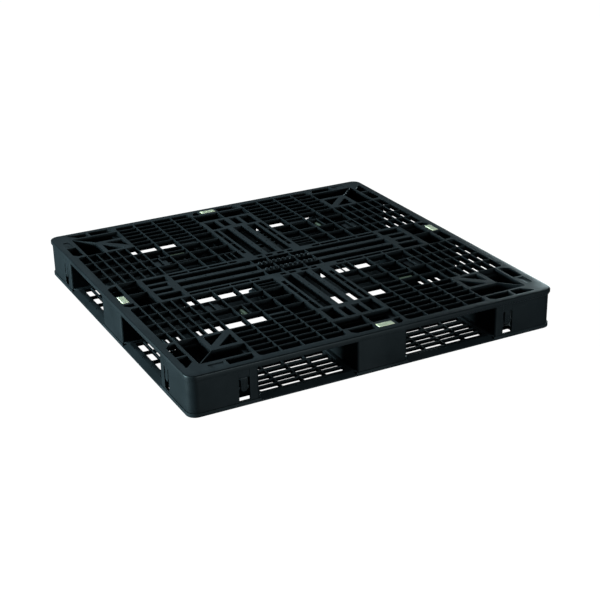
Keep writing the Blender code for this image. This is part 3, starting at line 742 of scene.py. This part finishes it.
def build_kerbs():
    """Low rounded kerbs round the feet of the columns, which stand clear of them."""
    edge = BASE_INSET + 0.0003
    end, left, right = CORNER_KERB_END, MIDDLE_KERB_START, SIDE - MIDDLE_KERB_START
    small, top_edge, root = 0.012, 0.002, 0.0085
    corner = rectangle(edge, edge, end, end)
    side = rectangle(left, edge, right, end)
    outlines = on_all_sides(
        [
            rounded(corner, (CORNER_RADIUS, KERB_RADIUS, small, KERB_RADIUS), 8),
            rounded(side, (KERB_RADIUS, KERB_RADIUS, small, small), 8),
        ]
    )
    outlines.append(placed(round_box(left, left, right, right, small)))
    body = extruded("kerbs", outlines, BASE_DEPTH - root, KERB_TOP, top_edge, 3)
    outside, clear = -SPARE, 0.0006
    near, far = MIDDLE_COLUMN_START - clear, MIDDLE_COLUMN_END + clear
    foot = CORNER_COLUMN_END + clear
    feet = on_all_sides([rectangle(outside, outside, foot, foot), rectangle(near, outside, far, foot)])
    feet.append(placed(rectangle(near, near, far, far)))
    return combine(body, [extruded("feet", feet, 0, KERB_TOP + SPARE)], "DIFFERENCE")


def build_loop(place, quarter):
    """The arch behind one latch window: two posts and the bar that the barb holds."""
    inset, thickness, edge, clear, lap = 0.0082, 0.004, 0.0005, 0.001, 0.001
    bar, post, inner_radius, outer_radius = 0.0055, 0.0065, 0.002, 0.003
    half = LATCH_WINDOW / 2 + clear
    wide = half + post
    foot, under = BASE_DEPTH - lap, LOOP_TOP - bar
    outline = [(-wide, foot), (-half, foot), (-half, under), (half, under), (half, foot)]
    outline += [(wide, foot), (wide, LOOP_TOP), (-wide, LOOP_TOP)]
    radii = (0, 0, inner_radius, inner_radius, 0, 0, outer_radius, outer_radius)
    loop = extruded("loop", [rounded(outline, radii, 4)], 0, thickness, edge)
    stand = Matrix.Rotation(math.pi / 2, 4, "X")
    shift = Matrix.Translation((place - HALF, inset + thickness - HALF, 0))
    loop.data.transform(shift @ stand)
    return turned(loop, quarter)


def edge_chamfers():
    """Wedges that slope the base's outer edge down inside each fork entry."""
    slope = (BASE_DEPTH - BASE_EDGE_HEIGHT) / BASE_CHAMFER
    out, rise, clear = 0.02, 0.01, 0.004
    top_e = BASE_INSET + BASE_CHAMFER + rise / slope
    profile = [(-out, BASE_EDGE_HEIGHT - (out + BASE_INSET) * slope), (top_e, BASE_DEPTH + rise)]
    profile.append((-out, BASE_DEPTH + rise))
    upright = Matrix.Rotation(math.pi / 2, 4, "Z") @ Matrix.Rotation(math.pi / 2, 4, "X")
    start, end = CORNER_COLUMN_END + clear, MIDDLE_COLUMN_START - clear
    wedges = []
    for quarter in range(4):
        for left in (start, SIDE - end):
            wedge = extruded("wedge", [profile], 0, end - start)
            wedge.data.transform(Matrix.Translation((left - HALF, -HALF, 0)) @ upright)
            wedges.append(turned(wedge, quarter))
    return merged("edge_chamfers", wedges)


def build_lower_deck(material):
    """The base frame, cored out underneath, with its slots, windows, kerbs and latch loops."""
    inside = SIDE - BASE_INSET
    rim = placed(round_box(BASE_INSET, BASE_INSET, inside, inside, CORNER_RADIUS - BASE_INSET, 8))
    holes = on_all_sides([base_window(), *base_lattice()]) + base_foot_openings()
    base = pierced("lower_deck_moulding", [rim], holes, 0, BASE_DEPTH)
    below, skin = -0.002, 0.003
    pockets = extruded("pockets", base_pockets(), below, BASE_DEPTH - skin)
    centres = [(s, BASE_SMALL_HOLES) for c in slot_centres() for s in (c, SIDE - c)]
    circles = on_all_sides([circle(centre, SMALL_HOLE_RADIUS, 10) for centre in centres])
    small_holes = extruded("small_holes", circles, below, 0.02)
    combine(base, [edge_chamfers(), pockets, small_holes], "DIFFERENCE")
    loops = [
        build_loop(place, quarter)
        for quarter in range(4)
        for place in (LATCH_FROM_CORNER, SIDE - LATCH_FROM_CORNER)
    ]
    combine(base, [build_kerbs(), merged("loops", loops)], "UNION")
    soften(base, BROKEN_EDGE)
    return finish_piece(base, "pallet", material, "base_plastic", "lower_deck")


# Latches and pads.


def build_latch(name, material):
    """A tongue on its hinge axis: rounded root and tip, a raised spine, and a ramped barb behind."""
    joint = next(j for j in frame["joints"] if j["child"] == name)
    low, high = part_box(name)
    drop, half = low.z - joint["pos_m"][2], high.z - joint["pos_m"][2]
    axis = Vector(joint["axis"])
    wide = abs((high - low).dot(axis)) / 2
    barb_top, barb_lip, reach = drop + 0.006, 0.0015, 0.0055
    root = arc((0, 0), half, 0, 180, 12)
    profile = [*root, (-half, drop), (half, drop), (reach, barb_top - barb_lip)]
    profile += [(reach, barb_top), (half, barb_top)]
    latch = extruded(name + "_tongue", [profile], -wide, wide)
    upright = Matrix.Rotation(math.pi / 2, 4, "X")
    latch.data.transform(Matrix.Rotation(math.pi / 2, 4, "Z") @ upright)

    # The rounded tip.
    hair, above, through = 0.0001, 0.002, 0.02
    face = rectangle(-wide - 2 * hair, drop - hair, wide + 2 * hair, half + above)
    tip = extruded("tip", [rounded(face, (wide, wide, 0, 0), 12)], -through, through)
    tip.data.transform(upright)
    combine(latch, [tip], "INTERSECT")

    # A shallow U-shaped groove in the outer face, which leaves a spine down the tongue.
    outer_half, inner_half, width, depth, radius = 0.0055, 0.0035, 0.002, 0.0006, 0.001
    bottom, top = drop + 0.0035, -0.006
    outer = rectangle(-outer_half, bottom, outer_half, top)
    outer = rounded(outer, (outer_half - hair, outer_half - hair, radius, radius), 10)
    inner = rectangle(-inner_half, bottom + width, inner_half, top + width)
    inner = rounded(inner, (inner_half - hair, inner_half - hair, 0, 0), 10)
    groove = pierced("groove", [outer], [inner], half - depth, half + above)
    groove.data.transform(upright)
    combine(latch, [groove], "DIFFERENCE")
    soften(latch, 0.0004)
    angle = math.atan2(-axis.y, -axis.x)
    place = Matrix.Translation(joint["pos_m"]) @ Matrix.Rotation(angle, 4, "Z")
    latch.data.transform(place)
    return finish_piece(latch, name, material, "latch_plastic", name)


def build_deck_pad(side, quarter, material):
    """A soft strip with rounded edges and shallow grooves across its top."""
    node = "deck_grip_pad_" + side
    low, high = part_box(node)
    radius, pitches, cut_half, cut_end, cut_depth, above = 0.0012, 10, 0.0004, 0.002, 0.0005, 0.001
    pad = block(node + "_strip", low, high, radius, 3)
    centre = (low + high) / 2
    along = Vector((1, 0, 0)) if quarter % 2 == 0 else Vector((0, 1, 0))
    across = Vector((along.y, along.x, 0))
    length, width = (high - low).dot(along), (high - low).dot(across)
    cuts = []
    for step in range(1, pitches):
        middle = centre + along * (step / pitches - 0.5) * length
        reach = along * cut_half + across * (width / 2 - cut_end)
        bottom = Vector((middle.x, middle.y, high.z - cut_depth))
        top = Vector((middle.x, middle.y, high.z + above))
        cuts.append(block("cut", bottom - reach, top + reach))
    combine(pad, [merged("cuts", cuts)], "DIFFERENCE")
    return finish_piece(pad, "pallet", material, "deck_pad_rubber", node)


def build_fork_pad(side, quarter, material):
    """A soft strip with a groove in its top for the rib that it hangs on."""
    node = "fork_grip_pad_" + side
    low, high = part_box(node)
    radius, groove_half, groove_reach = 0.0015, 0.0018, 0.04
    pad = block(node + "_strip", low, high, radius, 3)
    centre = (low + high) / 2
    reach = Vector((groove_half, groove_reach, 0))
    if quarter % 2:
        reach = Vector((reach.y, reach.x, 0))
    bottom = Vector((centre.x, centre.y, high.z - FORK_PAD_GROOVE))
    top = Vector((centre.x, centre.y, high.z + SPARE))
    groove = block("groove", bottom - reach, top + reach)
    combine(pad, [groove], "DIFFERENCE")
    return finish_piece(pad, "pallet", material, "fork_pad_rubber", node)


def build_gate_marks(material):
    """Small round witness marks where the moulding was fed, standing a hair above the bars."""
    radius, flatness, sink = 0.0036, 0.55, 0.0016
    at_corner, at_middle, on_bars = (0.199, 0.199), (HALF, 0.197), [(0.632, 0.471), (0.475, 0.629)]
    spots = [placed([at_corner], quarter)[0] for quarter in range(4)]
    spots += [placed([at_middle], quarter)[0] for quarter in range(4)]
    spots += placed(on_bars)
    marks = bmesh.new()
    for x, y in spots:
        place = Matrix.Translation((x, y, HEIGHT - sink)) @ Matrix.Diagonal((1, 1, flatness, 1))
        bmesh.ops.create_uvsphere(marks, u_segments=24, v_segments=12, radius=radius, matrix=place)
    mesh = bpy.data.meshes.new("gate_marks")
    marks.to_mesh(mesh)
    marks.free()
    obj = link_mesh("gate_marks", mesh)
    return finish_piece(obj, "pallet", material, "deck_plastic")


# Materials.


class Nodes:
    """A short way to write a material's nodes."""

    def __init__(self, name):
        self.material = bpy.data.materials.new(name)
        self.material.use_nodes = True
        self.tree = self.material.node_tree
        self.shader = self.tree.nodes["Principled BSDF"]
        self.place = self.add("ShaderNodeTexCoord").outputs["Object"]

    def feed(self, target, value):
        """Links an input to another node's output, or sets its value."""
        if isinstance(value, bpy.types.NodeSocket):
            self.tree.links.new(value, target)
        else:
            target.default_value = value

    def add(self, kind, inputs=None, **settings):
        """A new node with its settings, and its inputs fed."""
        node = self.tree.nodes.new(kind)
        for name, value in settings.items():
            setattr(node, name, value)
        for name, value in (inputs or {}).items():
            self.feed(node.inputs[name], value)
        return node

    def noise(self, scale, detail, roughness=0.5, stretch=None):
        """Noise in the piece's own space, its scale per metre."""
        place = self.place
        if stretch:
            place = self.add("ShaderNodeMapping", {"Vector": place, "Scale": stretch}).outputs[0]
        settings = {"Vector": place, "Scale": scale, "Detail": detail, "Roughness": roughness}
        return self.add("ShaderNodeTexNoise", settings).outputs["Fac"]

    def ramp(self, value, low, high, low_to=0.0, high_to=1.0):
        """The value spread from one range over another, and held at its ends."""
        settings = {"Value": value, "From Min": low, "From Max": high}
        settings.update({"To Min": low_to, "To Max": high_to})
        return self.add("ShaderNodeMapRange", settings).outputs["Result"]

    def maths(self, operation, first, second):
        return self.add("ShaderNodeMath", {0: first, 1: second}, operation=operation).outputs[0]

    def mix(self, share, first, second):
        """Two colours mixed. The node's inputs share their names, so they are set by number."""
        node = self.add("ShaderNodeMix", data_type="RGBA")
        for index, value in ((0, share), (6, first), (7, second)):
            self.feed(node.inputs[index], value)
        return node.outputs[2]

    def set(self, name, value):
        """Feeds an input of the material's shader."""
        self.feed(self.shader.inputs[name], value)

    def bump(self, heights):
        """Chains bumps, each a height socket, a strength and a distance in metres."""
        normal = None
        for height, strength, distance in heights:
            inputs = {"Height": height, "Strength": strength, "Distance": distance}
            if normal:
                inputs["Normal"] = normal
            normal = self.add("ShaderNodeBump", inputs).outputs["Normal"]
        self.set("Normal", normal)


def edge_mask(nodes, radius, low, high):
    """White along edges: how far a rounded normal leans from the real one."""
    soft = nodes.add("ShaderNodeBevel", {"Radius": radius}, samples=4).outputs["Normal"]
    flat = nodes.add("ShaderNodeNewGeometry").outputs["Normal"]
    lean = nodes.add("ShaderNodeVectorMath", {0: soft, 1: flat}, operation="DOT_PRODUCT")
    return nodes.ramp(lean.outputs["Value"], high, low)


def black_plastic(name, dark, light, scuff_and_highlight_tone, roughness):
    """Moulded black plastic: mottled, finely grained, scuffed, and paler along its edges as a painted
    highlight.
    """
    nodes = Nodes(name)
    mottle = nodes.ramp(nodes.noise(9, 4), 0.35, 0.68)
    flow = nodes.ramp(nodes.noise(22, 5, 0.6, (1.0, 0.22, 1.0)), 0.45, 0.75)
    base = nodes.mix(mottle, (*dark, 1), (*light, 1))

    # Scuffs in patches, and a painted highlight of paler plastic along the edges.
    scuff = nodes.ramp(nodes.noise(75, 8, 0.72, (0.35, 1.0, 1.0)), 0.60, 0.74)
    patches = nodes.ramp(nodes.noise(6, 3), 0.46, 0.62)
    scuff = nodes.maths("MULTIPLY", scuff, patches)
    scuff = nodes.maths("MULTIPLY", scuff, 0.5)
    edge_highlight = edge_mask(nodes, 0.0014, 0.80, 0.97)
    edge_highlight = nodes.maths("MULTIPLY", edge_highlight, nodes.ramp(nodes.noise(160, 4, 0.6), 0.38, 0.66, 0.25, 1))
    scuffs_and_edge_highlight = nodes.maths("MAXIMUM", scuff, nodes.maths("MULTIPLY", edge_highlight, 0.7))
    nodes.set("Base Color", nodes.mix(scuffs_and_edge_highlight, base, (*scuff_and_highlight_tone, 1)))

    # A low gloss that varies along the plastic's flow, duller where scuffed and along the painted edge
    # highlight, over a fine grain.
    gloss = nodes.ramp(flow, 0, 1, roughness + 0.05, roughness - 0.05)
    nodes.set("Roughness", nodes.maths("ADD", gloss, nodes.maths("MULTIPLY", scuffs_and_edge_highlight, 0.16)))
    nodes.set("Specular IOR Level", 0.07)
    grain = nodes.noise(1500, 2)
    ripple = nodes.noise(26, 2)
    nodes.bump([(ripple, 0.10, 0.0008), (grain, 0.22, 0.00012)])
    return nodes.material


def pale_rubber(name, light, dark, roughness):
    """Soft pale rubber: blotched in two tones, slightly dirty, and finely pitted."""
    nodes = Nodes(name)
    blotch = nodes.ramp(nodes.noise(140, 4, 0.6), 0.36, 0.66)
    base = nodes.mix(blotch, (*light, 1), (*dark, 1))
    dirt_colour = (0.16, 0.17, 0.11, 1)
    dirt = nodes.ramp(nodes.noise(60, 6, 0.7), 0.58, 0.80)
    base = nodes.mix(nodes.maths("MULTIPLY", dirt, 0.5), base, dirt_colour)
    nodes.set("Base Color", base)
    nodes.set("Roughness", nodes.ramp(blotch, 0, 1, roughness - 0.06, roughness + 0.08))
    nodes.set("Subsurface Weight", 0.12)
    nodes.set("Subsurface Radius", (0.004, 0.004, 0.002))
    nodes.set("Subsurface Scale", 0.3)
    nodes.bump([(nodes.noise(420, 3), 0.25, 0.0003), (nodes.noise(1900, 2), 0.2, 0.0001)])
    return nodes.material


# Stage, light and camera.


def build_floor():
    """A plain pale floor that stays bright to the camera and only dimly lights the object."""
    reach, top, bottom = 30, -0.0005, -0.02
    floor = block("floor", (-reach, -reach, bottom), (reach, reach, top))
    show(floor)
    white, pale, dusk = (1, 1, 1, 1), (0.82, 0.82, 0.82, 1), (0.12, 0.12, 0.12, 1)
    brightness, shadow_share = 1.06, 0.05
    nodes = Nodes("floor_white")
    nodes.set("Base Color", pale)
    nodes.set("Roughness", 0.9)
    nodes.set("Specular IOR Level", 0.0)
    glow = nodes.add("ShaderNodeEmission", {"Color": white, "Strength": brightness}).outputs[0]
    dim = nodes.add("ShaderNodeBsdfDiffuse", {"Color": dusk}).outputs[0]
    plain = nodes.shader.outputs[0]
    lit = nodes.add("ShaderNodeMixShader", {0: shadow_share, 1: glow, 2: plain}).outputs[0]
    seen = nodes.add("ShaderNodeLightPath").outputs["Is Camera Ray"]
    both = nodes.add("ShaderNodeMixShader", {0: seen, 1: dim, 2: lit}).outputs[0]
    nodes.tree.links.new(both, nodes.tree.nodes["Material Output"].inputs["Surface"])
    floor.data.materials.append(nodes.material)


def add_softbox(name, place, size, power, tint):
    """A square soft light that faces the object, its size in metres and its power in watts."""
    light = bpy.data.lights.new(name, "AREA")
    light.size = size
    light.energy = power
    light.color = tint
    lamp = bpy.data.objects.new(name, light)
    lamp.location = place
    lamp.rotation_euler = (-Vector(place)).to_track_quat("-Z", "Y").to_euler()
    bpy.context.scene.collection.objects.link(lamp)


def build_light():
    """A cool dim room, a strong light on the left, a soft one over the back, and two fills."""
    left_tint, top_tint, fill_tint = (0.64, 0.93, 1.0), (0.58, 0.86, 1.0), (0.74, 0.95, 1.0)
    world = bpy.data.worlds.new("studio")
    world.use_nodes = True
    background = world.node_tree.nodes["Background"]
    background.inputs["Color"].default_value = (0.72, 0.93, 1.0, 1)
    background.inputs["Strength"].default_value = 0.22
    bpy.context.scene.world = world
    add_softbox("key_left", (-4.2, 0.6, 0.35), size=1.0, power=1450, tint=left_tint)
    add_softbox("top_back", (0.8, 3.0, 2.6), size=2.6, power=38, tint=top_tint)
    add_softbox("fill_front", (0.8, -4.2, 0.3), size=1.0, power=280, tint=fill_tint)
    add_softbox("fill_back", (3.4, 2.4, 0.3), size=1.0, power=90, tint=fill_tint)


def build_camera():
    """The photograph's view, as a turn round the pallet's middle."""
    azimuth, elevation, roll = (math.radians(angle) for angle in (-27.07, 23.63, -1.23))
    distance, shift_right, shift_up = 3.832, 0.0375, -0.0575
    target = Vector((0, 0, 0.055))
    focal_over_width = 2.1648
    back = Vector(
        (
            math.sin(azimuth) * math.cos(elevation),
            -math.cos(azimuth) * math.cos(elevation),
            math.sin(elevation),
        )
    )
    level = Vector((math.cos(azimuth), math.sin(azimuth), 0))
    above = back.cross(level)
    right = math.cos(roll) * level + math.sin(roll) * above
    up = -math.sin(roll) * level + math.cos(roll) * above
    camera = bpy.data.cameras.new("camera")
    camera.sensor_width = 36
    camera.lens = focal_over_width * camera.sensor_width
    obj = bpy.data.objects.new("camera", camera)
    turn = Matrix((right, up, back)).transposed().to_4x4()
    place = target + back * distance + right * shift_right + up * shift_up
    obj.matrix_world = Matrix.Translation(place) @ turn
    bpy.context.scene.collection.objects.link(obj)
    bpy.context.scene.camera = obj


def build_plastics():
    """The four black plastics: each one's dark tone, light tone, tone of its scuffs and painted edge
    highlight, and roughness.
    """
    deck = (0.0020, 0.0026, 0.0030), (0.0034, 0.0042, 0.0048), (0.0150, 0.0170, 0.0184), 0.42
    # The base is the deck's black plastic painted about twice as light, a painted highlight for the light
    # and glints that fall on it.
    base = (0.0038, 0.0048, 0.0053), (0.0062, 0.0075, 0.0084), (0.0192, 0.0218, 0.0237), 0.40
    latch = (0.0020, 0.0026, 0.0030), (0.0032, 0.0040, 0.0046), (0.0140, 0.0160, 0.0172), 0.40
    gate = (0.0040, 0.0052, 0.0060), (0.0060, 0.0072, 0.0080), (0.0240, 0.0260, 0.0280), 0.22
    looks = {"deck_plastic": deck, "base_plastic": base, "latch_plastic": latch, "gate_plastic": gate}
    return [black_plastic(name, *look) for name, look in looks.items()]


def main():
    deck_plastic, base_plastic, latch_plastic, gate_plastic = build_plastics()
    deck_rubber = pale_rubber("deck_rubber", (0.62, 0.54, 0.38), (0.44, 0.42, 0.26), 0.62)
    fork_rubber = pale_rubber("fork_rubber", (0.55, 0.63, 0.44), (0.38, 0.47, 0.30), 0.66)

    build_upper_deck(deck_plastic)
    build_lower_deck(base_plastic)
    build_gate_marks(gate_plastic)
    for side, quarter in SIDES.items():
        build_deck_pad(side, quarter, deck_rubber)
        build_fork_pad(side, quarter, fork_rubber)
        for end in "ab":
            build_latch(f"snap_latch_{side}_{end}", latch_plastic)
    build_floor()
    build_light()
    build_camera()
    bpy.context.scene.view_settings.view_transform = "Standard"


main()
